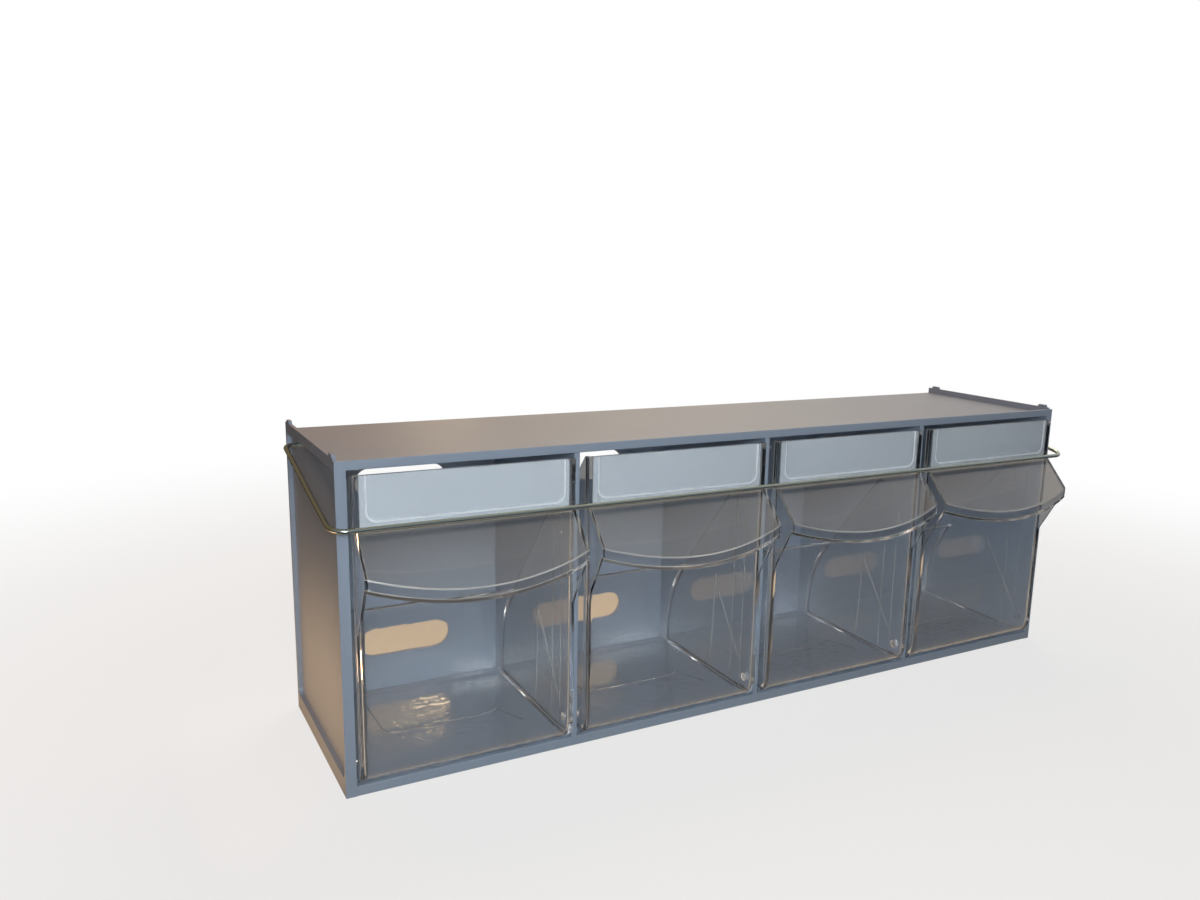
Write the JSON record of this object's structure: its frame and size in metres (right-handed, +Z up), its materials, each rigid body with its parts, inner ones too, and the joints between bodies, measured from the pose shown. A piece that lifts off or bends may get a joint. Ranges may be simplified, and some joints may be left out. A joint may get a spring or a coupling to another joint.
{
  "type": "parts bin cabinet",
  "caption": "Wide plastic cabinet of clear tip-out bins with hooded pulls and label cards, in a grey housing with hanging slots, locked shut by a swinging wire bar.",
  "frame": {"origin": "centre of the housing's footprint, on the surface that it stands on", "axes": "+X along the cabinet to the right as seen from the front, -Y out of the front, +Z up"},
  "size_m": [0.6142, 0.182, 0.21],
  "materials": {
    "housing": "fine satin",
    "bin_clear": "clear, polished",
    "label_card": "matt card",
    "wire": "bright zinc plated"
  },
  "bodies": {
    "cabinet": {"top_panel": "housing", "bottom_panel": "housing", "back_panel": "housing", "left_end_panel": "housing", "right_end_panel": "housing", "divider_1": "housing", "divider_2": "housing", "divider_3": "housing"},
    "locking_bar": {"locking_bar": "wire"},
    "bin_1": {"bin_1": "bin_clear", "pivot_pins_1": "bin_clear", "label_card_1": "label_card"},
    "bin_2": {"bin_2": "bin_clear", "pivot_pins_2": "bin_clear", "label_card_2": "label_card"},
    "bin_3": {"bin_3": "bin_clear", "pivot_pins_3": "bin_clear", "label_card_3": "label_card"},
    "bin_4": {"bin_4": "bin_clear", "pivot_pins_4": "bin_clear", "label_card_4": "label_card"}
  },
  "joints": [
    {"name": "locking_bar_swing", "type": "hinge", "parent": "cabinet", "child": "locking_bar", "pos_m": [0, 0.046, 0.196], "axis": [-1, 0, 0], "range_deg": [0, 266]},
    {"name": "bin_1_tilt", "type": "hinge", "parent": "cabinet", "child": "bin_1", "pos_m": [-0.22235, -0.064, 0.019], "axis": [1, 0, 0], "range_deg": [0, 40]},
    {"name": "bin_2_tilt", "type": "hinge", "parent": "cabinet", "child": "bin_2", "pos_m": [-0.0746, -0.064, 0.019], "axis": [1, 0, 0], "range_deg": [0, 40]},
    {"name": "bin_3_tilt", "type": "hinge", "parent": "cabinet", "child": "bin_3", "pos_m": [0.0746, -0.064, 0.019], "axis": [1, 0, 0], "range_deg": [0, 40]},
    {"name": "bin_4_tilt", "type": "hinge", "parent": "cabinet", "child": "bin_4", "pos_m": [0.22235, -0.064, 0.019], "axis": [1, 0, 0], "range_deg": [0, 40]}
  ],
  "couplings": [
    {"joint": "bin_1_tilt", "follows": "locking_bar_swing", "ratio": 0.15},
    {"joint": "bin_2_tilt", "follows": "locking_bar_swing", "ratio": 0.15},
    {"joint": "bin_3_tilt", "follows": "locking_bar_swing", "ratio": 0.15},
    {"joint": "bin_4_tilt", "follows": "locking_bar_swing", "ratio": 0.15}
  ]
}
